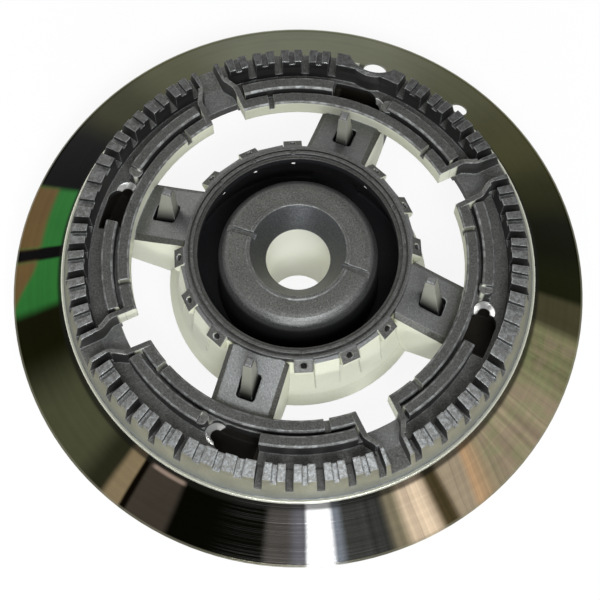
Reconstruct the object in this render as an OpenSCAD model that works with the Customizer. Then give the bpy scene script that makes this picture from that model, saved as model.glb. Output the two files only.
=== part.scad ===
// Triple ring gas burner: a cast crown without its caps, standing in its trim ring.
// Heights named _h are measured up from the plane of the hob, on which the trim ring lies.
// Spokes stand at 70 degrees and every quarter turn from there, gaps halfway between them.

/* [Mixer tube and dome] */
// Bore of the mixer tube
tube_bore_d = 17.4; // [15:0.2:19]
// Wall of the mixer tube
tube_wall = 2.2; // [1.6:0.1:2.8]
// How far the mixer tube reaches below the hob
tube_drop = 19; // [12:1:24]
// Height at which the bore opens into the funnel
throat_h = 19; // [17:0.5:20.5]
// Diameter of the funnel at its upper edge
funnel_d = 26; // [24:0.5:28]
// Height of the flat top of the dome
dome_h = 25.8; // [24:0.2:27]
// Diameter of the dome
dome_d = 43; // [41:0.5:45]
// Round on the dome's shoulder
dome_round = 4.5; // [3:0.5:5]
// Width of the bead round the funnel's edge
bead_w = 0.9; // [0.6:0.1:1.2]
// Height of the bead round the funnel's edge
bead_t = 0.4; // [0.2:0.1:0.6]
// Width of the two grooves across the dome
dome_groove_w = 1.6; // [1:0.1:2]
// Depth of the two grooves across the dome
dome_groove_t = 1.1; // [0.6:0.1:1.5]

/* [Central cup] */
// Inner diameter of the cup at its rim
cup_d = 55.6; // [54:0.4:58]
// Wall of the cup at its rim
cup_wall = 2.4; // [2:0.1:3]
// Height of the cup's rim
cup_h = 26.4; // [25:0.2:28]
// How far the cup's wall spreads outward down to its foot
cup_flare = 3.8; // [2:0.2:5]
// Height of the cup's spread foot
foot_h = 4; // [3:0.2:5]
// How far the foot spreads beyond the cup's wall
foot_out = 2; // [1:0.2:2.4]
// Width of the raised ring that centres the cap
rim_ring_w = 0.9; // [0.7:0.1:1.2]
// Width of the groove behind the raised ring
rim_groove_w = 0.5; // [0.4:0.1:0.7]
// Depth of the groove behind the raised ring
rim_groove_t = 1; // [0.5:0.1:1.4]
// Depth of the recess inside the rim
rim_recess_t = 1.2; // [0.8:0.1:1.8]
// How far the inner lip stands in below that recess
cup_lip_w = 1; // [0.5:0.1:1.4]
// Diameter of the inner flame ports
port_d = 1.9; // [1.2:0.1:2.4]
// Ports between each two spokes
ports_per_gap = 3; // [1:1:3]
// Angle between neighbouring ports
port_pitch = 22.5; // [18:0.5:24]
// Slope of the ports, rising outward
port_slope = 34; // [25:1:40]
// Width of a port lug
lug_w = 5; // [4:0.2:6]
// How far a port lug stands out from the cup
lug_out = 2.8; // [2:0.2:3.4]
// Width of the flat pads between the lugs
pad_w = 6.8; // [4:0.2:7]
// How far a pad stands out from the cup
pad_out = 1; // [0.6:0.1:1.6]
// Length of a pad down the cup's wall
pad_l = 17.2; // [12:0.4:18]

/* [Outer flame ring] */
// Inner radius of the flame ring, the outer edge of the windows
window_r = 45.3; // [44:0.2:47]
// Thickness of the inner wall
inner_wall = 3.3; // [2.6:0.1:4]
// Width of the narrow groove behind the inner wall
inner_groove_w = 1; // [0.8:0.1:1.4]
// Width of the rib between the groove and the channel
rib_w = 3.2; // [2.6:0.1:4]
// Width of the gas channel
channel_w = 4.4; // [3.8:0.1:5.2]
// Thickness of the toothed outer wall at its top
tooth_t = 4.4; // [3.6:0.1:5]
// How far the outer face spreads down to the flange
outer_flare = 2.4; // [1.5:0.1:3.2]
// Width of the flange's lip
lip_w = 1; // [0.6:0.1:2]
// Height of the flange's upper face
flange_h = 12.2; // [10:0.2:13]
// Thickness of the flange
flange_t = 1.8; // [1.4:0.1:2.2]
// Height of the inner wall
inner_wall_h = 22; // [20.5:0.1:23]
// Height of the rib
rib_h = 22.6; // [21:0.1:23.4]
// Height of the toothed wall at its inner edge
tooth_h = 23.5; // [22:0.1:25]
// Fall of the teeth's tops toward the outside
tooth_fall = 1.3; // [0.5:0.1:2]
// Height of the channel's floor
channel_h = 14.8; // [14:0.1:15.5]
// Height of the narrow groove's floor
inner_groove_h = 18; // [17.4:0.1:19]
// Thickness of the channel's floor
channel_floor = 2; // [1.6:0.1:2.4]
// Bevel on the upper edges of rib, walls and spokes
edge = 0.5; // [0.2:0.1:0.7]

/* [Flame slots] */
// Angle between neighbouring deep slots
slot_pitch = 7.5; // [7.2:0.1:7.6]
// Deep slots on each side of a gap
slots_per_side = 5; // [3:1:5]
// Angle from the middle of a gap to its first deep slot
slot_start = 4.75; // [4.6:0.05:5]
// Width of a deep slot
slot_w = 2.05; // [1.6:0.05:2.4]
// Height of the deep slots' floor
slot_h = 16.3; // [15.8:0.1:18]
// Width of a shallow slot
shallow_w = 1.5; // [1:0.1:1.8]
// Depth of a shallow slot
shallow_t = 1.7; // [0.8:0.1:2.4]
// Width of the shallow slots in the wall over each spoke
zone_w = 2.2; // [1.2:0.1:2.4]
// Shallow slots in the wall over each spoke
zone_slots = 3; // [1:2:3]
// Angle between the shallow slots over a spoke
zone_pitch = 5.3; // [4:0.1:5.6]
// Width of the notches through the inner wall
notch_w = 1.5; // [1:0.1:2]
// Angle of the notches from the middle of a gap
notch_a = 16; // [14:0.5:20]
// Depth of the notches
notch_t = 3; // [2:0.1:3.4]

/* [Gaps between the flame sectors] */
// Height of the floor in the gaps
valley_h = 16; // [15.4:0.1:17]
// Half the width of a gap at its outer end
gap_out = 2.8; // [2:0.1:3]
// Half the width of a gap at the windows
gap_in = 4.8; // [4:0.1:5.4]
// Thickness of the walls that close the channel
end_wall = 1.4; // [1.1:0.1:1.5]
// How far the gap's floor ends outside the rib's inner edge
valley_back = 1; // [0.8:0.1:1.8]
// Angle from the middle of a gap to the end of the rib
rib_end_a = 8; // [7.8:0.1:10]

/* [Spokes] */
// Width of a spoke at its top
spoke_w = 16.4; // [15:0.2:18]
// How much wider a spoke is at its foot
spoke_draft = 2; // [1:0.2:3]
// Height of a spoke at the flame ring
spoke_out_h = 16.8; // [16.4:0.1:18]
// Height of a spoke at the cup
spoke_in_h = 24.6; // [22:0.2:25]
// Thickness of the spokes' walls and of the chamber's floor
wall = 2; // [1.6:0.1:2.4]
// Height of the crown's underside over the hob
floor_h = 1; // [0.6:0.1:2]
// Height of the ceiling of the passages in the spokes
passage_h = 12.4; // [12:0.1:12.8]
// Half the angle of an inlet pocket in the channel
pocket_a = 8.7; // [7:0.1:9]
// Width of the ledge between a pocket and the toothed wall
pocket_ledge = 1.2; // [0.8:0.1:1.6]
// Radius of the milled hole at a pocket's round end
mill_r = 1.7; // [1.4:0.1:2]
// Width of the milled bevel round that hole
mill_bevel = 1.2; // [0.8:0.1:1.3]
// Radius of the round boss at the end of a rib
boss_r = 1.9; // [1.6:0.1:2]
// How much lower a boss is than its rib
boss_drop = 1.4; // [0.4:0.1:2]

/* [Cap posts] */
// Distance of the posts' tips from the middle of the burner
post_r = 36.2; // [36.2:0.1:37]
// Height of the posts' tips
post_h = 37; // [28:0.5:40]
// Length of a post's tip along the spoke
post_tip_l = 2.6; // [2:0.1:3]
// Width of a post's tip across the spoke
post_tip_w = 2.2; // [1.6:0.1:2.4]
// How much wider a post is at its foot
post_draft = 1.4; // [0.8:0.1:2]
// Gap between a post's foot and the ends of its well
post_gap = 0.3; // [0.2:0.1:0.6]
// Distance of the wells from the middle of the burner
well_r = 38; // [37.8:0.1:38.4]
// Length of the well round a post
well_l = 6.8; // [6.4:0.1:7]
// Width of the well round a post
well_w = 5.2; // [5:0.1:6]
// Height of the well's floor
well_h = 14.6; // [14.4:0.1:16]

/* [Trim ring] */
// Width of the trim ring outside the flange
trim_w = 15; // [10:1:25]
// Thickness of the trim ring's sheet
trim_t = 0.8; // [0.6:0.1:1.2]
// Height of the collar that stands round the crown's spigot
collar = 4; // [2.5:0.5:5]
// Gap between the collar and the spigot
collar_gap = 0.2; // [0.1:0.05:0.4]
// Width of the rolled outer edge
hem_w = 1; // [0.8:0.1:2]
// Height of the rolled outer edge
hem_h = 1.2; // [1:0.1:2]
// Diameter of the hole for the spark plug
plug_d = 6.6; // [5:0.2:7]
// How far the middle of that hole lies outside the flange's edge
plug_out = 0.6; // [0.2:0.1:1.2]
// Diameter of the hole for the flame sensor
sensor_d = 4.6; // [3:0.2:6]
// How far the middle of that hole lies outside the flange's edge
sensor_out = 3.2; // [2.6:0.2:5]
// Angle of the flame sensor's hole
sensor_a = 47; // [44:1:50]
// Radius of the alcove that the flame ring leaves for the spark plug
alcove_r = 7.8; // [7:0.1:8.2]

/* [Hidden] */
$fn = 144;
eps = 0.01;
far = 100;
sky = 14;
reach = 12;

spokes = [70, 160, 250, 340];
gaps = [25, 115, 205, 295];
plug_a = spokes[0];

// Radii of the flame ring, from the windows outward
groove_in_r = window_r + inner_wall;
rib_in_r = groove_in_r + inner_groove_w;
channel_in_r = rib_in_r + rib_w;
rib_cut_out_r = channel_in_r + inner_groove_w / 2;
channel_out_r = channel_in_r + channel_w;
tooth_out_r = channel_out_r + tooth_t;
face_foot_r = tooth_out_r + outer_flare;
flange_r = face_foot_r + lip_w;
boss_a = pocket_a + 0.9;
rib_stop_a = boss_a + 0.4;
valley_r = rib_in_r + valley_back;
shelf_r = valley_r - 0.4;
plug_r = flange_r + plug_out;
sensor_r = flange_r + sensor_out;
round_side = [-1, -1, -1, 1];
tooth_out_h = tooth_h - tooth_fall;
lip_step = 0.4;

// Spigot under the flange, which the trim ring's collar goes round
flange_foot_h = flange_h - flange_t;
spigot_r = channel_out_r + 3.4;
spigot_in_r = spigot_r - wall - 0.2;
spigot_foot_h = flange_foot_h - collar - 1.6;
channel_foot_h = channel_h - channel_floor;

// Cup and dome
tube_r = tube_bore_d / 2;
tube_out_r = tube_r + tube_wall;
funnel_r = funnel_d / 2;
bead_r = funnel_r + bead_w;
dome_r = dome_d / 2;
dome_foot_r = dome_r + 0.8;
floor_top_h = floor_h + wall;
cup_r = cup_d / 2;
cup_out_r = cup_r + cup_wall;
cup_foot_r = cup_out_r + cup_flare;
cup_lip_r = cup_r - cup_lip_w;
rim_ring_r = cup_r + rim_ring_w;
rim_groove_r = rim_ring_r + rim_groove_w;
rim_drop = 0.3;

// Points along a quarter circle, from the side to the top
function quarter(cx, cy, r, n) = [for (i = [0 : n]) [cx + r * cos(90 * i / n), cy + r * sin(90 * i / n)]];

// Half width of a gap along its length, narrow outside and wide at the windows
bend_out = channel_out_r - 0.6;
bend_in = rib_in_r + 2;
bend_steps = 8;
function gap_side(extra) = concat(
    [[channel_out_r + reach, gap_out + extra]],
    [for (i = [0 : bend_steps])
        [bend_out + (bend_in - bend_out) * i / bend_steps,
         gap_out + extra + (gap_in - gap_out) * (1 - cos(180 * i / bend_steps)) / 2]],
    [[window_r - 2, gap_in + extra]]);

// Turn a drawing of radius and height upright, as thick as w and centred on its plane
module upright(w) {
    rotate([90, 0, 0]) linear_extrude(height = w, center = true) children();
}

// Repeat at each of the given angles
module around(angles) {
    for (a = angles) rotate([0, 0, a]) children();
}

// Section of the flame ring with the gas channel open at the top
module ring_section() {
    polygon([
        [window_r, inner_wall_h - edge], [window_r + edge, inner_wall_h],
        [groove_in_r - edge, inner_wall_h], [groove_in_r, inner_wall_h - edge],
        [groove_in_r, inner_groove_h], [rib_in_r, inner_groove_h],
        [rib_in_r, rib_h - edge], [rib_in_r + edge, rib_h],
        [channel_in_r - edge, rib_h], [channel_in_r, rib_h - edge],
        [channel_in_r, channel_h], [channel_out_r, channel_h],
        [channel_out_r, tooth_h], [tooth_out_r, tooth_out_h],
        [face_foot_r, flange_h + lip_step], [face_foot_r, flange_h],
        [flange_r, flange_h], [flange_r, flange_foot_h],
        [spigot_r, flange_foot_h], [spigot_r, spigot_foot_h],
        [spigot_in_r, spigot_foot_h], [spigot_in_r, channel_foot_h],
        [shelf_r, channel_foot_h], [shelf_r, valley_h],
        [window_r, valley_h]]);
}

// Section of the same ring without its channel, for the walls that close it
module solid_section() {
    polygon([
        [window_r, inner_wall_h - edge], [window_r + edge, inner_wall_h],
        [channel_in_r, rib_h], [channel_out_r, tooth_h], [tooth_out_r, tooth_out_h],
        [face_foot_r, flange_h + lip_step], [spigot_r, flange_h],
        [spigot_r, channel_foot_h], [shelf_r, channel_foot_h], [shelf_r, valley_h],
        [window_r, valley_h]]);
}

// Plan of a gap, widened on both sides by extra
module gap_plan(extra) {
    side = gap_side(extra);
    polygon(concat(side, [for (i = [len(side) - 1 : -1 : 0]) [side[i][0], -side[i][1]]]));
}

// Plan of a sector between two radii, from angle a0 to angle a1
module sector_plan(r0, r1, a0, a1) {
    reach = 2 * r1;
    intersection() {
        difference() {
            circle(r = r1);
            circle(r = r0);
        }
        polygon([[0, 0], reach * [cos(a0), sin(a0)], reach * [cos(a1), sin(a1)]]);
    }
}

// Ring with its channel, its ribs ended before every gap and at every inlet pocket's round end
module flame_ring() {
    difference() {
        rotate_extrude() ring_section();
        around(gaps)
            translate([0, 0, inner_groove_h - 0.4])
                linear_extrude(height = sky)
                    sector_plan(rib_in_r - inner_groove_w / 2, rib_cut_out_r, -rib_end_a, rib_end_a);
        for (k = [0 : 3]) rotate([0, 0, spokes[k]]) mirror([0, round_side[k] > 0 ? 1 : 0, 0])
            translate([0, 0, inner_groove_h - 0.4])
                linear_extrude(height = sky)
                    sector_plan(rib_in_r - inner_groove_w / 2, rib_cut_out_r, -rib_stop_a, 0);
    }
    around(gaps) intersection() {
        rotate_extrude() solid_section();
        linear_extrude(height = 3 * sky) gap_plan(end_wall);
    }
}

// Round bosses on the ends of the ribs beside the inlet pockets
module rib_bosses() {
    for (k = [0 : 3]) rotate([0, 0, spokes[k] + round_side[k] * boss_a])
        translate([rib_in_r + rib_w / 2 - 0.3, 0, channel_foot_h])
            cylinder(r = boss_r, h = rib_h - boss_drop - channel_foot_h);
}

// Wall that carries the flame ring round the spark plug
module alcove_wall() {
    limit_r = channel_out_r + 1.2;
    top = tooth_h - 1.3 * tooth_fall / tooth_t;
    translate([0, 0, channel_foot_h]) linear_extrude(height = top - channel_foot_h) intersection() {
        circle(r = limit_r);
        rotate([0, 0, plug_a]) translate([plug_r, 0]) difference() {
            circle(r = alcove_r + end_wall);
            circle(r = alcove_r);
        }
    }
}

// Section of a spoke along its length
module spoke_section() {
    polygon([
        [cup_foot_r - wall / 2, floor_h], [flange_r, floor_h],
        [flange_r, channel_h - 0.7], [shelf_r + 0.6, channel_h - 0.7],
        [shelf_r + 0.6, spoke_out_h], [window_r, spoke_out_h], [cup_out_r - 0.6, spoke_in_h]]);
}

// Cross-section of a spoke or of the passage in it, narrowed on both sides by inset
module spoke_cross(inset, foot, top) {
    foot_w = spoke_w / 2 + spoke_draft / 2 - inset;
    top_w = spoke_w / 2 - inset;
    polygon([[-foot_w, foot], [foot_w, foot], [top_w, top], [-top_w, top]]);
}

// Angle and length of the spokes' sloping roof
roof_run = window_r - (cup_out_r - 0.6);
roof_rise = spoke_in_h - spoke_out_h;
roof_a = atan(roof_rise / roof_run);
roof_l = sqrt(roof_run * roof_run + roof_rise * roof_rise);

// One spoke along the X axis, with bevels along its roof
module spoke() {
    difference() {
        intersection() {
            upright(far) spoke_section();
            rotate([90, 0, 90]) linear_extrude(height = far) spoke_cross(0, 0, cup_h + 2);
            cylinder(r = spigot_in_r + 0.8, h = far);
        }
        for (side = [-1, 1])
            translate([window_r, side * (spoke_w / 2 + 0.35), spoke_out_h])
                rotate([0, roof_a, 0])
                    translate([-roof_l, 0, 0])
                        rotate([45, 0, 0])
                            translate([0, -edge * 2, -edge * 2]) cube([roof_l, edge * 4, edge * 4]);
    }
}

// Passage that carries gas from the cup's chamber through a spoke
module passage() {
    intersection() {
        translate([dome_foot_r + 1.4, -spoke_w, floor_top_h])
            cube([far, 2 * spoke_w, passage_h - floor_top_h]);
        rotate([90, 0, 90]) linear_extrude(height = far) spoke_cross(wall, 0, cup_h + 2);
        cylinder(r = channel_out_r - 0.4, h = far);
    }
}

// Inlet pockets in the channel over the spokes, each with a milled round end beside its boss
module pockets() {
    in_r = rib_in_r - 0.6;
    out_r = channel_out_r - pocket_ledge;
    half = (out_r - in_r) / 2;
    turn_y = -0.8;
    mill_y = -4;
    rise = 0.3;
    for (k = [0 : 3]) rotate([0, 0, spokes[k]]) mirror([0, round_side[k] > 0 ? 1 : 0, 0]) {
        translate([0, 0, passage_h - 1]) linear_extrude(height = sky) {
            sector_plan(in_r, out_r, asin(turn_y / (in_r + half)), pocket_a);
            translate([in_r + half, turn_y]) circle(r = half + 0.1);
        }
        translate([rib_in_r + 2.3, mill_y, 0]) rotate_extrude() polygon([
            [0, passage_h - 1.2], [mill_r, passage_h - 1.2], [mill_r, channel_h - 1.5],
            [mill_r + mill_bevel * (1 + rise / 1.5), channel_h + rise],
            [mill_r + mill_bevel * (1 + rise / 1.5), rib_h + 1], [0, rib_h + 1]]);
    }
}

// Well with round corners, seen in plan
module well_plan() {
    corner = 0.9;
    square([well_l, well_w - 2 * corner], center = true);
    square([well_l - 2 * corner, well_w], center = true);
    for (x = [-1, 1], y = [-1, 1])
        translate([x * (well_l / 2 - corner), y * (well_w / 2 - corner)]) circle(r = corner);
}

// Post that stands in the well and guides the caps, upright on the cup's side and sloped outside
module post() {
    foot = well_h - 0.5;
    bevel = 0.4;
    tip = post_h - bevel;
    module face(foot_a, foot_b, tip_a, tip_b) {
        polygon([
            [foot_a, foot], [foot_b, foot], [tip_b, tip], [tip_b - bevel, post_h],
            [tip_a + bevel, post_h], [tip_a, tip]]);
    }
    half_foot = (post_tip_w + post_draft) / 2;
    intersection() {
        upright(far) face(
            well_r - well_l / 2 + post_gap, well_r + well_l / 2 - post_gap,
            post_r - post_tip_l / 2, post_r + post_tip_l / 2);
        rotate([0, 0, 90]) upright(far) face(-half_foot, half_foot, -post_tip_w / 2, post_tip_w / 2);
    }
}

// Tube, dome and cup as one turned section
module core_section() {
    under_r = dome_foot_r - wall - 0.2;
    polygon(concat(
        [[tube_r + edge, -tube_drop], [tube_out_r - edge, -tube_drop], [tube_out_r, edge - tube_drop],
         [tube_out_r, throat_h - 1.4], [funnel_r + 0.9, dome_h - 2.5],
         [dome_r - dome_round, dome_h - 2.5], [dome_r - wall - 0.4, dome_h - dome_round],
         [under_r, floor_h],
         [cup_foot_r + foot_out, floor_h], [cup_foot_r + foot_out, floor_h + 0.8],
         [cup_foot_r, floor_h + foot_h], [cup_out_r, cup_h - 2.4],
         [cup_out_r, cup_h - rim_drop], [rim_groove_r, cup_h - rim_drop],
         [rim_groove_r, cup_h - rim_groove_t], [rim_ring_r, cup_h - rim_groove_t],
         [rim_ring_r, cup_h], [cup_r, cup_h], [cup_r, cup_h - rim_recess_t],
         [cup_lip_r, cup_h - rim_recess_t], [cup_lip_r, cup_h - 3.6],
         [cup_foot_r - cup_wall, floor_top_h + 0.6], [cup_foot_r - cup_wall - 0.6, floor_top_h],
         [dome_foot_r, floor_top_h]],
        quarter(dome_r - dome_round, dome_h - dome_round, dome_round, 8),
        [[bead_r, dome_h], [bead_r, dome_h + bead_t], [funnel_r, dome_h + bead_t],
         [tube_r, throat_h], [tube_r, edge - tube_drop]]));
}

// Angles of the inner flame ports
ports = [for (g = gaps, i = [0 : ports_per_gap - 1]) g + (i - (ports_per_gap - 1) / 2) * port_pitch];
pads = [for (g = gaps, i = [0 : ports_per_gap - 2]) g + (i - (ports_per_gap - 2) / 2) * port_pitch];

// Lug that an inner flame port comes out of
module port_lug() {
    top = cup_h - rim_drop;
    out = cup_out_r + lug_out;
    upright(lug_w) polygon([
        [cup_out_r - 0.8, top], [cup_out_r + 0.2, top], [out, top - lug_out],
        [out, top - lug_out - 1.6], [cup_out_r + 1, top - 7.4], [cup_out_r - 0.8, top - 7.4]]);
}

// Radius of the cup's outer wall at a height
function cup_face_r(h) =
    cup_out_r + cup_flare * (cup_h - 2.4 - h) / (cup_h - 2.4 - floor_h - foot_h);

// Flat pad between two lugs, fading into the wall at its foot
module cup_pad() {
    top = cup_h - 1.2;
    foot = top - pad_l;
    upright(pad_w) polygon([
        [cup_out_r - 0.8, top], [cup_out_r + pad_out, top - 0.4],
        [cup_face_r(foot + 1) + 0.3, foot + 1], [cup_face_r(foot) - 0.3, foot],
        [cup_face_r(foot) - 1.2, foot], [cup_out_r - 0.4, top - 8]]);
}

// Bore of one inner flame port, from inside the cup up through its lug
module port() {
    mid_r = cup_out_r + lug_out / 2;
    mid_h = cup_h - rim_drop - lug_out / 2;
    translate([mid_r, 0, mid_h])
        rotate([0, 90 - port_slope, 0])
            translate([0, 0, -8]) cylinder(d = port_d, h = 12, $fn = 32);
}

// Section of a shallow slot, its floor as steep as the teeth's tops
module shallow_section(start, top, fall) {
    polygon([
        [start, tooth_h - shallow_t + fall], [start, top],
        [start + reach, top], [start + reach, tooth_h - shallow_t - (reach - 1) * fall]]);
}

// Everything that is cut between the teeth and through the inner wall
module slots() {
    deep = [for (g = gaps, s = [-1, 1], i = [0 : slots_per_side - 1]) g + s * (slot_start + i * slot_pitch)];
    shallow = [for (g = gaps, s = [-1, 1], i = [0 : slots_per_side - 2])
        g + s * (slot_start + (i + 0.5) * slot_pitch)];
    zones = [for (k = [1 : 3], i = [0 : zone_slots - 1]) spokes[k] + (i - (zone_slots - 1) / 2) * zone_pitch];
    top = tooth_h + 1;
    start = channel_out_r - 1;
    fall = tooth_fall / tooth_t;
    around(deep)
        translate([start, -slot_w / 2, slot_h]) cube([reach, slot_w, top - slot_h]);
    around(shallow) upright(shallow_w) shallow_section(start, top, fall);
    around(zones) upright(zone_w) shallow_section(start, top, fall);
    around([for (g = gaps, s = [-1, 1]) g + s * notch_a])
        translate([window_r - 1, -notch_w / 2, inner_wall_h - notch_t])
            cube([inner_wall + 1 + inner_groove_w / 2, notch_w, notch_t + 1]);
}

// Floor and openings of one gap between two flame sectors
module gap_cut() {
    translate([0, 0, valley_h]) linear_extrude(height = sky) gap_plan(0);
    translate([0, 0, floor_h]) linear_extrude(height = 2 * sky) intersection() {
        gap_plan(0);
        circle(r = valley_r);
    }
}

// Room that the flame ring leaves for the spark plug
module plug_room() {
    rotate([0, 0, plug_a]) translate([plug_r, 0, 0]) {
        translate([0, 0, flange_h]) cylinder(r = alcove_r, h = sky);
        translate([0, 0, floor_h]) cylinder(r = plug_d / 2 + 1.3, h = 2 * sky);
    }
}

// Small notches in the rim's raised ring, one over each port
module rim_notches() {
    notch = 1.2;
    around(ports) translate([cup_r - 1, -notch / 2, cup_h - 0.5]) cube([rim_ring_w + 1 + eps, notch, 2]);
}

// Grooves across the dome from its shoulder into the funnel
module dome_grooves() {
    for (a = [160, 340]) rotate([0, 0, a])
        translate([tube_r, -dome_groove_w / 2, dome_h - dome_groove_t])
            cube([dome_r - tube_r + 0.5, dome_groove_w, 4]);
}

// Flame ring with its slots and gaps
module slotted_ring() {
    difference() {
        flame_ring();
        slots();
        around(gaps) gap_cut();
        plug_room();
    }
}

// Everything but the posts, hollowed for the gas
module hollow_body() {
    difference() {
        union() {
            slotted_ring();
            rib_bosses();
            rotate_extrude() core_section();
            around(ports) port_lug();
            around(pads) cup_pad();
            around(spokes) spoke();
        }
        around(spokes) passage();
        pockets();
        around(spokes) translate([well_r, 0, well_h]) linear_extrude(height = sky) well_plan();
    }
}

module burner_crown() {
    color("dimgray") translate([0, 0, tube_drop]) difference() {
        union() {
            hollow_body();
            alcove_wall();
            around(spokes) post();
        }
        around(ports) port();
        rim_notches();
        dome_grooves();
    }
}

// Trim ring: a cone of sheet with a land under the flange, a collar inside and a rolled edge
module trim_ring() {
    trim_r = flange_r + trim_w;
    collar_r = spigot_r + collar_gap;
    land_r = flange_r - 0.6;
    top = flange_foot_h;
    hem_r = trim_r - hem_w;
    color("silver") translate([0, 0, tube_drop]) difference() {
        rotate_extrude() polygon([
            [collar_r, top], [collar_r, top - collar], [collar_r + trim_t, top - collar],
            [collar_r + trim_t, top - trim_t], [land_r - 0.3, top - trim_t],
            [hem_r - 0.2, hem_h - trim_t], [hem_r, 0], [trim_r - 0.3, 0], [trim_r, 0.3],
            [trim_r, hem_h - 0.5], [trim_r - 0.5, hem_h], [hem_r, hem_h], [land_r, top]]);
        rotate([0, 0, plug_a]) translate([plug_r, 0, -eps]) cylinder(d = plug_d, h = far);
        rotate([0, 0, sensor_a]) translate([sensor_r, 0, -eps]) cylinder(d = sensor_d, h = far);
    }
}

burner_crown();
trim_ring();
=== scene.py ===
import math
import bpy
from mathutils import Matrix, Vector

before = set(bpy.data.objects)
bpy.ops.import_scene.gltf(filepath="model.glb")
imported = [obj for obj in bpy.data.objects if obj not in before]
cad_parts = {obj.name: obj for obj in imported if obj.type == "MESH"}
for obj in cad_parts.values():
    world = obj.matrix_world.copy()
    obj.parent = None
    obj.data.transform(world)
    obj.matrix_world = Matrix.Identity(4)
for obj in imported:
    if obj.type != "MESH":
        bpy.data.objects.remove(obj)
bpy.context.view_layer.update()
hobPlane = 0.019  # height of the trim ring's lower edge over the mixer tube's end
mmPerMetre = 1000
firstSpoke = 70   # degrees from +X, the others stand a quarter turn on
print("frame loaded")


# A node tree that is written as sums and calls
class Sketch:
    def __init__(self, tree):
        self.tree = tree
        tree.nodes.clear()

    def add(self, kind, settings=None, values=None, out=0):
        node = self.tree.nodes.new(kind)
        for name, value in (settings or {}).items():
            setattr(node, name, value)
        for key, value in (values or {}).items():
            if isinstance(value, Wire):
                self.tree.links.new(value.socket, node.inputs[key])
            else:
                node.inputs[key].default_value = value
        return Wire(self, node.outputs[out] if len(node.outputs) else None, node)

    # 0 below low, 1 above high, smooth between them
    def rise(self, value, low, high):
        return self.add("ShaderNodeMapRange", {"interpolation_type": "SMOOTHSTEP"},
                        {0: value, 1: low, 2: high, 3: 0.0, 4: 1.0})

    # 1 from low to high and 0 outside, soft on both sides
    def between(self, value, low, high, soft):
        comesUp = self.rise(value, low - soft, low + soft)
        return comesUp * (1 - self.rise(value, high - soft, high + soft))

    # First colour at factor 0, second at 1
    def mix(self, factor, first, second):
        pair = [(*c, 1) if isinstance(c, tuple) else c for c in (first, second)]
        values = {0: factor, 6: pair[0], 7: pair[1]}
        return self.add("ShaderNodeMix", {"data_type": "RGBA"}, values, out=2)

    # Brightens or darkens a colour by a number round 1
    def shade(self, colour, amount):
        return self.add("ShaderNodeVectorMath", {"operation": "SCALE"}, {0: colour, 3: amount})

    # Patches all over, scale per metre
    def noise(self, scale, detail, rough, vector):
        values = {"Scale": scale, "Detail": detail, "Roughness": rough, "Vector": vector}
        return self.add("ShaderNodeTexNoise", {"noise_dimensions": "3D"}, values)

    # Noise along one measure only, such as the radius or the angle
    def stripes(self, along, detail, rough):
        values = {"Scale": 1.0, "Detail": detail, "Roughness": rough, "W": along}
        return self.add("ShaderNodeTexNoise", {"noise_dimensions": "1D"}, values)

    def bump(self, height, distance, strength, normal=None):
        values = {"Height": height, "Distance": distance, "Strength": strength}
        if normal is not None:
            values["Normal"] = normal
        return self.add("ShaderNodeBump", {}, values)


class Wire:
    def __init__(self, sketch, socket, node=None):
        self.sketch, self.socket, self.node = sketch, socket, node

    def maths(self, operation, first, second=None):
        values = {0: first}
        if second is not None:
            values[1] = second
        return self.sketch.add("ShaderNodeMath", {"operation": operation}, values)

    def __add__(self, other):
        return self.maths("ADD", self, other)

    __radd__ = __add__

    def __sub__(self, other):
        return self.maths("SUBTRACT", self, other)

    def __rsub__(self, other):
        return self.maths("SUBTRACT", other, self)

    def __mul__(self, other):
        return self.maths("MULTIPLY", self, other)

    __rmul__ = __mul__

    def __truediv__(self, other):
        return self.maths("DIVIDE", self, other)

    def __rtruediv__(self, other):
        return self.maths("DIVIDE", other, self)

    def __pow__(self, other):
        return self.maths("POWER", self, other)

    def __rpow__(self, other):
        return self.maths("POWER", other, self)

    def size(self):
        return self.maths("ABSOLUTE", self)

    def fraction(self):
        return self.maths("FRACT", self)

    def atMost(self, other):
        return self.maths("MINIMUM", self, other)

    def atLeast(self, other):
        return self.maths("MAXIMUM", self, other)


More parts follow.
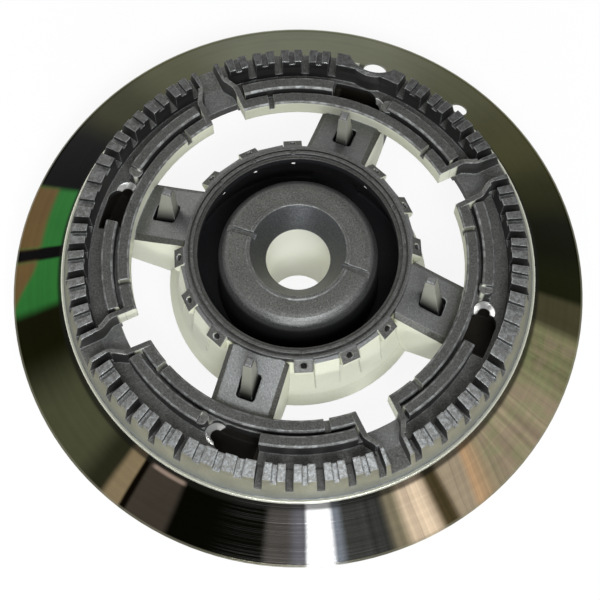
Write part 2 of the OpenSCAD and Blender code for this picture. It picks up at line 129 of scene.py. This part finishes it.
# Where a point lies on the burner: radius and height over the hob in mm, angle from 0 to 1 turn
class Place:
    def __init__(self, sketch):
        self.sketch = sketch
        spot = sketch.add("ShaderNodeTexCoord", out=3)
        parts = sketch.add("ShaderNodeSeparateXYZ", values={0: spot})
        self.vector = spot
        self.x, self.y = (Wire(sketch, parts.node.outputs[i]) * mmPerMetre for i in (0, 1))
        self.height = Wire(sketch, parts.node.outputs[2]) * mmPerMetre - hobPlane * mmPerMetre
        self.radius = (self.x * self.x + self.y * self.y) ** 0.5
        turn = self.x.maths("ARCTAN2", self.y, self.x) / (2 * math.pi)
        self.angle = (turn + 1).fraction()
        quarter = self.angle * 4 + (1.5 - firstSpoke / 90)
        fromSpoke = (quarter.fraction() - 0.5) * (math.pi / 2)
        self.across = self.radius * fromSpoke  # distance from the middle of the nearest spoke
        shape = sketch.add("ShaderNodeNewGeometry", out=1)
        facing = sketch.add("ShaderNodeSeparateXYZ", values={0: shape})
        nx, ny, self.up = (Wire(sketch, facing.node.outputs[i]) for i in range(3))
        self.normal = shape
        self.outward = (nx * self.x + ny * self.y) / self.radius.atLeast(0.1)

    # 1 between two radii
    def ring(self, low, high, soft=0.1):
        return self.sketch.between(self.radius, low, high, soft)

    # 1 above a height that fades in from low to high
    def above(self, low, high):
        return self.sketch.rise(self.height, low, high)

    # 1 below a height that fades out from low to high
    def below(self, low, high):
        return 1 - self.above(low, high)

    # 1 on what lies between two radii and over a height
    def part(self, inner, outer, low, high):
        return self.ring(inner, outer) * self.above(low, high)

    # 1 outside a radius that fades in from low to high
    def outside(self, low, high):
        return self.sketch.rise(self.radius, low, high)

    def inside(self, low, high):
        return 1 - self.outside(low, high)


def newMaterial(name, constants):
    material = bpy.data.materials.new(name)
    material.use_nodes = True
    sketch = Sketch(material.node_tree)
    shader = sketch.add("ShaderNodeBsdfPrincipled", {}, constants)
    sketch.add("ShaderNodeOutputMaterial", {}, {"Surface": shader})
    return material, sketch, shader.node


def feed(sketch, shader, **wires):
    for name, wire in wires.items():
        sketch.tree.links.new(wire.socket, shader.inputs[name.replace("_", " ")])


castLook = {
    "skin": (0.088, 0.087, 0.080),        # shot-blasted top faces
    "paleTopAndHighlight": (0.27, 0.28, 0.29),          # tooth tops and roofs, polished by wear and lightened by a painted highlight; also the dome shoulder's painted highlight
    "edgeWearAndHighlight": (0.40, 0.41, 0.41),      # bright metal on worn edges and bevels, with a painted highlight on them
    "shade": (0.014, 0.014, 0.013),       # painted shade on the upright walls of the channels and in the wells
    "wall": (0.68, 0.685, 0.56),          # bare metal on the walls of the windows, painted pale as lit by the white floor
    "outerFace": (0.215, 0.208, 0.150),   # flared outer face under the teeth
    "faceFoot": (0.150, 0.156, 0.132),    # its lower part
    "fillet": (0.095, 0.105, 0.110),      # painted shade along its foot, in the crease
    "flange": (0.30, 0.31, 0.25),         # narrow lip outside it
    "lip": (0.62, 0.62, 0.52),            # turned edge of the flange
    "post": (0.33, 0.325, 0.27),          # cap posts, darkened at the foot by painted shade
    "chamberShade": (0.006, 0.006, 0.007),       # painted shade in the chamber between dome and cup
    "passageShade": (0.018, 0.014, 0.009),       # painted shade in the passages of the spokes
    "funnel": (0.060, 0.062, 0.066),      # cone that leads into the mixer tube
    "bore": (0.95, 0.95, 0.86),           # turned wall of the mixer tube, painted pale as lit by the white floor
    "machinedAndPortLight": (0.86, 0.85, 0.82),       # milled ends of the inlet pockets, and the painted light at the ports' inner ends
    "grain": 2300,                        # fineness of the shot blasting, per metre
    "relief": 0.00016,                    # its depth in metres
    "edge": 0.00055,                      # width of the rounded edges in metres
}

# Where things lie on the crown, in mm from its axis, over the hob or off the middle of a spoke
castPlan = {
    # inner and outer radius, then the heights over which the mask fades in
    "teeth": (57.1, 62.2, 19.8, 20.4),
    "ribs": (45.4, 52.9, 21.2, 21.8),     # with the top of the inner wall
    "ribBevels": (45, 53, 21, 21.4),
    "roofs": (29.8, 45.2, 15.8, 16.6),
    "rim": (26.7, 30.4, 24.5, 25),
    # inner and outer radius
    "valleys": (45.4, 57),
    "windowWalls": (30.3, 48.4),
    "gapWalls": (48.4, 50.6),
    "cupFoot": (33.4, 36.6),
    "wells": (34.2, 41.8),
    "fillet": (63.3, 64.1),
    "passages": (30.5, 49),
    "pockets": (49, 58),
    "portEnds": (27.1, 30.5),
    "milled": (48.7, 56),
    # radii over which a mask fades in or out
    "bore": (8.8, 8.95),
    "funnel": (12.7, 13.0),
    "chamberStart": (21.0, 21.6),
    "dome": (21.2, 21.6),
    "cupLip": (26.6, 26.9),
    "cupWall": (27.0, 27.4),
    "windowEdge": (45.4, 45.6),
    "faceStart": (61.0, 61.5),
    "lipStart": (64.15, 64.3),
    "lipEdge": (64.6, 64.8),
    # lowest and highest point
    "milledHeight": (13.2, 15.2),
    "valleyFloor": (15.9, 16.1),
    "portHeight": (20.6, 23.4),
    # heights over which a mask fades in or out
    "cupFootTop": (5.6, 6.2),
    "filletTop": (12.8, 13.2),
    "gasRoof": (12.8, 13.6),
    "faceFade": (13, 17.5),
    "gapFloor": (15.4, 16.2),
    "notchFoot": (18.6, 18.9),
    "funnelFoot": (18.6, 19.2),
    "boreTop": (18.7, 19.1),
    "domeFoot": (19, 20),
    "lipFoot": (21.5, 22.5),
    "chamberTop": (25.6, 25.9),
    # distances over which a mask fades, from the middle of a port or a spoke
    "portHalf": (0.35, 0.6),
    "wellHalf": (2.75, 2.95),
    "portless": (3, 4),
    "passageHalf": (7.4, 7.8),
    # lines and angles
    "cupLean": 0.225,                     # how far the cup's wall leans in, per mm upward
    "cupMiddle": (33.5, 34.1),            # middle of that wall, carried down to the hob, as a fade
    "roofStart": 29.6,                    # radius where the spokes' roofs start
    "roofTop": 24.6,                      # their height there
    "roofFall": 0.497,                    # their fall per mm outward
    "postRise": (-1.5, 9),                # heights over a roof between which a post gets lighter
    "notch": (0.482, 0.530),              # radians from the nearest spoke
    "firstPort": 25,                      # degrees from +X
    "portPitch": 22.5,                    # degrees
}


def castAlloy():
    look, plan = castLook, castPlan
    material, s, shader = newMaterial("castAlloy", {"Specular IOR Level": 0.5})
    at = Place(s)
    soft = s.add("ShaderNodeBevel", {"samples": 4}, {"Radius": look["edge"]})
    agree = s.add("ShaderNodeVectorMath", {"operation": "DOT_PRODUCT"}, {0: soft, 1: at.normal}, out=1)
    edges = s.rise(1 - agree, 0.03, 0.25)
    grain = s.noise(look["grain"], 2.0, 0.6, at.vector)
    speck = s.rise(s.noise(look["grain"] * 0.8, 1.0, 0.5, at.vector), 0.60, 0.72)
    pits = s.rise(s.noise(900, 2.0, 0.6, at.vector), 0.44, 0.60)
    glint = s.rise(s.noise(520, 2.0, 0.5, at.vector), 0.42, 0.66)
    blotch = s.noise(160, 3.0, 0.55, at.vector)
    cloud = s.noise(45, 2.0, 0.5, at.vector)
    upright = 1 - s.rise(at.up.size(), 0.25, 0.62)
    flat = s.rise(at.up, 0.55, 0.9)
    offSpoke = at.across.size()
    teeth, ribs, roofs, rim = (at.part(*plan[name]) for name in ("teeth", "ribs", "roofs", "rim"))

    # Tops: the teeth and roofs polished by wear and lightened by a painted highlight on their upward faces,
    # the ribs left dark, and painted shade on the back teeth
    skin = s.shade(look["skin"], grain * 2.3 + blotch * 0.6 - 0.45)
    valleys = at.ring(*plan["valleys"]) * s.between(at.height, *plan["valleyFloor"], 0.05)
    wearAndSheen = (teeth * (0.10 + pits * 0.30) + roofs * 0.24 + valleys * 0.15) * flat
    colour = s.mix(wearAndSheen + speck * (0.22 + teeth * 0.15), skin, look["paleTopAndHighlight"])
    dome = at.inside(*plan["dome"]) * at.above(*plan["domeFoot"])
    shoulder = dome * (1 - s.rise(at.up, 0.85, 0.97))
    backShade = teeth * s.rise(at.y, -20, 45)  # painted shade: the teeth get blacker towards the back
    colour = s.shade(colour, 1 - ribs * flat * 0.4 - rim * 0.25 - dome * 0.14 - backShade * 0.5)
    # painted highlight on the dome's rounded shoulder
    colour = s.mix(shoulder * 0.15, colour, look["paleTopAndHighlight"])

    # Painted shade on the walls of channels, slots and gaps
    wallShade = at.outside(*plan["cupWall"]) * upright
    colour = s.mix(wallShade * 0.85, colour, s.shade(look["shade"], 0.6 + grain * 0.8))

    # Walls round the windows, less so beside the notches, and the cup's foot: bare metal painted pale as lit
    # by the white floor
    sideways = (1 - s.rise(at.outward.size(), 0.5, 0.8)) * at.above(*plan["gapFloor"])
    notch = s.between(offSpoke / at.radius, *plan["notch"], 0.002) * at.above(*plan["notchFoot"])
    notch = notch * at.outside(*plan["windowEdge"])
    clear = at.ring(*plan["windowWalls"]) * (1 - notch * 0.6)
    clear = clear + at.ring(*plan["gapWalls"], 0.4) * sideways
    bareAndFloorLight = s.shade(look["wall"], 0.84 + cloud * 0.3 + grain * 0.16)
    foot = at.ring(*plan["cupFoot"], 0.2) * at.below(*plan["cupFootTop"])
    colour = s.mix((clear * upright + foot).atMost(1), colour, bareAndFloorLight)

    # Posts and the wells round them, with painted shade at the foot and in the wells, measured up from the
    # sloping roof
    wells = at.ring(*plan["wells"]) * (1 - s.rise(offSpoke, *plan["wellHalf"])) * upright
    roofHeight = plan["roofTop"] - (at.radius - plan["roofStart"]) * plan["roofFall"]
    rising = s.rise(at.height - roofHeight, *plan["postRise"])
    post = s.mix(rising, look["shade"], s.shade(look["post"], 0.75 + cloud * 0.4))
    colour = s.mix(wells, colour, post)

    # Flared outer face, a little darker at its foot, and the flange
    face = s.rise(at.outward, 0.3, 0.6) * at.outside(*plan["faceStart"])
    olive = s.mix(at.above(*plan["faceFade"]), look["faceFoot"], look["outerFace"])
    colour = s.mix(face, colour, s.shade(olive, 0.30 + grain * 0.5 + blotch * 0.6))
    # painted shade in the crease at the face's foot
    fillet = at.ring(*plan["fillet"]) * at.below(*plan["filletTop"])
    colour = s.mix(fillet * 0.8, colour, look["fillet"])
    lip = at.outside(*plan["lipStart"])
    colour = s.mix(lip, colour, s.mix(at.outside(*plan["lipEdge"]), look["flange"], look["lip"]))

    # Painted shade in the gas ways: the chamber between dome and cup, the passages in the spokes and the
    # inlet pockets
    wallMiddle = at.radius + at.height * plan["cupLean"]
    chamber = at.outside(*plan["chamberStart"]) * (1 - s.rise(wallMiddle, *plan["cupMiddle"]))
    cupLip = at.outside(*plan["cupLip"]) * flat * at.above(*plan["lipFoot"])
    chamber = chamber * at.below(*plan["chamberTop"]) * (1 - cupLip * 0.6)
    underRoof = at.below(*plan["gasRoof"])
    passages = at.ring(*plan["passages"], 1.0) * (1 - s.rise(offSpoke, *plan["passageHalf"])) * underRoof
    pockets = at.ring(*plan["pockets"], 0.5) * underRoof
    gas = (chamber + passages + pockets).atMost(1)
    colour = s.mix(gas, colour, s.mix(chamber, look["passageShade"], look["chamberShade"]))

    # Painted light at the inner ends of the ports in the cup's wall, where light shines through them
    pitch = plan["portPitch"]
    port = at.angle * (360 / pitch) + (0.5 - plan["firstPort"] / pitch)
    offPort = at.radius * (port.fraction() - 0.5) * math.radians(pitch)
    portEnd = (1 - s.rise(offPort.size(), *plan["portHalf"])) * s.between(at.height, *plan["portHeight"], 0.1)
    portEnd = portEnd * s.rise(offSpoke, *plan["portless"]) * at.ring(*plan["portEnds"])
    colour = s.mix(portEnd * gas, colour, look["machinedAndPortLight"])

    # Bright bevel that the cutter left at each inlet pocket
    leaning = s.between(at.up, 0.45, 0.95, 0.05)
    milled = s.between(at.height, *plan["milledHeight"], 0.1) * at.ring(*plan["milled"]) * leaning
    colour = s.mix(milled, colour, look["machinedAndPortLight"])

    # Funnel with painted light, brighter towards its back and right, and the mixer tube painted pale as lit
    # by the white floor
    cone = at.inside(*plan["funnel"]) * at.above(*plan["funnelFoot"])
    lit = 0.35 + s.rise(at.y, -9, 10) * 1.2 + s.rise(at.x, -9, 9) * 0.3
    colour = s.mix(cone, colour, s.shade(look["funnel"], lit * (0.3 + grain * 1.3 + speck * 0.2)))
    bore = at.inside(*plan["bore"]) * at.below(*plan["boreTop"])
    colour = s.mix(bore, colour, s.shade(look["bore"], 0.9 + cloud * 0.2))

    # Wear and painted glints on the ribs' bevels and on every edge outside the gas ways
    bevels = s.between(at.up, 0.6, 0.82, 0.04) * at.part(*plan["ribBevels"])
    colour = s.mix(bevels * (0.12 + glint * 0.4), colour, look["edgeWearAndHighlight"])
    wornAndLitEdges = edges * (0.25 + glint * 0.65) * (1 - gas) * (1 - face * 0.6) * (1 - rim * 0.8)
    colour = s.mix(wornAndLitEdges.atMost(1), colour, look["edgeWearAndHighlight"])

    roughness = 0.50 + grain * 0.14 - edges * 0.12 - shoulder * 0.14 - (teeth + roofs) * 0.08
    roughness = roughness - lip * 0.25 - milled * 0.2 - cone * 0.1
    metallic = 0.6 + (lip + milled + teeth + roofs + shoulder) * 0.2 - upright * (1 - cone) * 0.4
    normal = s.bump((grain * 0.8 + blotch * 0.5) * (1 - milled), look["relief"], 0.6, soft)
    feed(s, shader, Base_Color=colour, Roughness=roughness, Metallic=metallic, Normal=normal)
    return material


ringLook = {
    "lines": 9.0,                         # turning lines per mm
    "relief": 0.00003,                    # their depth in metres
    "gloss": 0.12,                        # roughness before the lines add to it
    # painted dark reflection where no band lies
    "darkReflection": (0.008, 0.009, 0.002),
    "cornerShade": (0.010, 0.010, 0.008),        # painted shade in the corner under the flange
    "ochre": (0.130, 0.080, 0.030),       # outer part of the green painted reflections
    "rose": (0.30, 0.20, 0.17),           # two faint blotches in the bronze painted reflection
    # green blotches in the same painted reflection
    "moss": (0.20, 0.26, 0.11),
    "paleSheen": (0.40, 0.30, 0.24),      # short light arc beside that corner
    # painted highlight on the fine scratches
    "scratchHighlight": (0.70, 0.70, 0.72),
    "hemHighlight": (0.26, 0.25, 0.18),        # painted highlight on the rolled outer edge
    # spans in degrees round the ring
    "upperGreen": (158.5, 173),
    "lowerGreen": (176, 188),
    "sheenSpan": (234.8, 243.2),
    "scratchSpan": (255, 287),
    "raySpan": (283, 350),
    "slantSpan": (304.5, 316),
    "blotchSpan": (314, 346),
    # radii in mm over which the corner's painted shade ends and the rolled edge starts
    "corner": (65.9, 66.9),
    "hem": (79.2, 79.6),
    # painted reflections in broad bands round the ring: degrees from +X where one starts, how soft, tint
    "streaks": [
        (3, 4, (0.004, 0.005, 0.001)),
        (16, 5, (0.02, 0.02, 0.005)),
        (26, 6, (0.045, 0.045, 0.015)),
        (43, 6, (0.065, 0.065, 0.03)),
        (62, 12, (0.12, 0.125, 0.08)),
        (110, 8, (0.08, 0.08, 0.04)),
        (127, 6, (0.035, 0.035, 0.015)),
        (141, 5, (0.001, 0.001, 0.001)),
        (158.5, 1, (0.025, 0.15, 0.03)),
        (173, 0.4, (0.001, 0.001, 0.001)),
        (176, 0.5, (0.025, 0.15, 0.03)),
        (187.5, 1.5, (0.006, 0.006, 0.001)),
        (203, 7, (0.06, 0.063, 0.033)),
        (223, 3, (0.02, 0.02, 0.01)),
        (228.5, 1, (0.21, 0.16, 0.09)),
        (232.5, 0.4, (0.003, 0.002, 0.001)),
        (234, 0.5, (0.045, 0.037, 0.028)),
        (243, 1, (0.002, 0.002, 0.001)),
        (263, 1, (0.05, 0.045, 0.04)),
        (268.5, 1.5, (0.09, 0.09, 0.1)),
        (271.5, 0.6, (0.97, 0.97, 0.97)),
        (277, 0.8, (0.15, 0.165, 0.19)),
        (279, 1, (0.035, 0.036, 0.032)),
        (289, 1.5, (0.2, 0.17, 0.11)),
        (292.5, 1.5, (0.7, 0.55, 0.39)),
        (299, 1.4, (0.06, 0.045, 0.02)),
        (303, 1.2, (0.36, 0.29, 0.2)),
        (308.5, 1, (0.42, 0.27, 0.15)),
        (312, 3, (0.28, 0.235, 0.15)),
        (334, 5, (0.17, 0.165, 0.085)),
        (347, 1.5, (0.055, 0.05, 0.025)),
        (354.5, 1, (0.008, 0.01, 0.002)),
    ],
}


def turnedSteel():
    look = ringLook
    material, s, shader = newMaterial("turnedSteel", {"Specular IOR Level": 0.5, "Metallic": 1.0})
    at = Place(s)
    turn = at.angle * 360

    # Painted reflections in broad bands round the ring, with wavering and here and there slanting borders,
    # broken into rays in the bronze part
    drift = (s.noise(60, 2.0, 0.5, at.vector) - 0.5) * 0.6
    slant = (at.radius - 72) * 0.2 * s.between(turn, *look["slantSpan"], 1.5)
    degrees = turn + drift + slant
    tint = look["darkReflection"]
    for start, softness, colour in look["streaks"]:
        tint = s.mix(s.rise(degrees, start - softness, start + softness), tint, colour)
    rays = s.stripes(degrees * 0.45, 3.0, 0.65)
    tint = s.shade(tint, 1 + (rays - 0.5) * s.between(turn, *look["raySpan"], 3) * 1.1)

    # Painted reflection in ochre outside the greens, its border moving inward over the lower one
    bound = at.radius - s.rise(turn, *look["lowerGreen"]) * 7
    tint = s.mix(s.rise(bound, 71.5, 74) * s.between(turn, *look["upperGreen"], 0.8), tint, look["ochre"])
    tint = s.mix(s.rise(bound, 72, 74.5) * s.between(turn, *look["lowerGreen"], 0.8), tint, look["ochre"])
    # the bronze painted reflection broken by rose and moss blotches
    blotch = s.noise(170, 3.0, 0.6, at.vector)
    span = s.between(turn, *look["blotchSpan"], 2) * 0.24
    tint = s.mix(s.rise(blotch, 0.5, 0.62) * span, tint, look["rose"])
    tint = s.mix((1 - s.rise(blotch, 0.38, 0.5)) * span, tint, look["moss"])

    # Painted shade in the corner under the flange, and the painted light arc beside it
    tint = s.mix(at.inside(*look["corner"]) * 0.8, tint, look["cornerShade"])
    pale = at.ring(*look["corner"], 0.4) * s.between(turn, *look["sheenSpan"], 0.8)
    tint = s.mix(pale * 0.65, tint, look["paleSheen"])

    # Turning lines, fine scratches with a painted highlight where the white band lies, and a painted
    # highlight on the rolled edge
    lines = s.stripes(at.radius * look["lines"], 2.0, 0.7)
    broad = s.stripes(at.radius * 0.7, 2.0, 0.5)
    cloud = s.noise(55, 3.0, 0.6, at.vector)
    tint = s.shade(tint, 0.50 + lines * 0.30 + broad * 0.2 + cloud * 0.5)
    litScratch = s.rise(lines, 0.60, 0.72) * s.between(turn, *look["scratchSpan"], 4)
    tint = s.mix(litScratch * 0.12, tint, look["scratchHighlight"])
    tint = s.mix(at.outside(*look["hem"]) * 0.4, tint, look["hemHighlight"])
    normal = s.bump(lines, look["relief"], 0.4)
    feed(s, shader, Base_Color=tint, Roughness=look["gloss"] + lines * 0.08, Normal=normal)
    return material


def dress(name, material):
    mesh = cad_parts[name].data
    mesh.materials.clear()
    mesh.materials.append(material)


dress("burner_crown", castAlloy())
dress("trim_ring", turnedSteel())
print("materials made")


def addObject(name, data):
    holder = bpy.data.objects.new(name, data)
    bpy.context.scene.collection.objects.link(holder)
    return holder


def turnTo(holder, target):
    gaze = Vector(target) - holder.location
    holder.rotation_euler = gaze.to_track_quat("-Z", "Y").to_euler()


cameraLook = {
    "distance": 0.412,        # metres from the hob's middle
    "elevation": 70.7,        # degrees
    "lens": 87.6,             # mm, on a sensor of 36 mm
    "sensor": 36,
    "aim": (0.0005, -0.0052, hobPlane),
}


def placeCamera():
    look = cameraLook
    lift = math.radians(look["elevation"])
    camera = bpy.data.cameras.new("camera")
    camera.sensor_width = look["sensor"]
    camera.lens = look["lens"]
    camera.clip_start = 0.01
    holder = addObject("camera", camera)
    holder.location = (0, -look["distance"] * math.cos(lift), hobPlane + look["distance"] * math.sin(lift))
    turnTo(holder, look["aim"])
    bpy.context.scene.camera = holder


roomLook = {
    "fill": 0.30,                # strength of the room's own light on the part
    "paper": (0.93, 0.93, 0.92),
    "paperGlow": 0.9,            # how far the paper is shown as plain white
    "reach": 3,                  # half a side of the paper, in metres
    "aim": (0, 0, 0.03),         # what the lamps point at
    "lamps": {                   # power in watts, size, place, tone
        "key": (6.8, (0.34, 0.24), (0.09, -0.47, 0.78), (0.93, 0.97, 1.0)),
        "front": (4.5, (0.5, 0.1), (-0.05, -0.95, 0.33), (0.95, 0.98, 1.0)),
        "rim": (1.2, (0.4, 0.4), (-0.45, 0.5, 0.55), (1.0, 0.98, 0.94)),
    },
}


# 1 for what the camera sees directly or in a glossy surface
def seenPlainly(sketch):
    rays = sketch.add("ShaderNodeLightPath").node
    seen = Wire(sketch, rays.outputs["Is Camera Ray"]) + Wire(sketch, rays.outputs["Is Glossy Ray"])
    return seen.atMost(1)


def layPaper():
    look = roomLook
    reach = look["reach"]
    corners = [(x * reach, y * reach, 0) for x, y in ((-1, -1), (1, -1), (1, 1), (-1, 1))]
    floor = bpy.data.meshes.new("floor")
    floor.from_pydata(corners, [], [(0, 1, 2, 3)])
    holder = addObject("floor", floor)
    material = bpy.data.materials.new("paper")
    material.use_nodes = True
    s = Sketch(material.node_tree)
    matt = s.add("ShaderNodeBsdfDiffuse", {}, {"Color": (*look["paper"], 1)})
    glow = s.add("ShaderNodeEmission", {}, {"Color": (1, 1, 1, 1), "Strength": 1.0})
    both = s.add("ShaderNodeMixShader", {}, {0: seenPlainly(s) * look["paperGlow"], 1: matt, 2: glow})
    s.add("ShaderNodeOutputMaterial", {}, {"Surface": both})
    floor.materials.append(material)


def lightRoom():
    look = roomLook
    world = bpy.data.worlds.new("room")
    bpy.context.scene.world = world
    world.use_nodes = True
    s = Sketch(world.node_tree)
    strength = look["fill"] + seenPlainly(s) * (1 - look["fill"])
    sky = s.add("ShaderNodeBackground", {}, {"Color": (1, 1, 1, 1), "Strength": strength})
    s.add("ShaderNodeOutputWorld", {}, {"Surface": sky})
    for name, (power, size, place, tone) in look["lamps"].items():
        lamp = bpy.data.lights.new(name, "AREA")
        lamp.color = tone
        lamp.shape = "RECTANGLE"
        lamp.size, lamp.size_y = size
        lamp.energy = power
        holder = addObject(name, lamp)
        holder.location = place
        turnTo(holder, look["aim"])


placeCamera()
layPaper()
lightRoom()
bpy.context.scene.view_settings.view_transform = "Standard"
print("camera, floor and lights set")
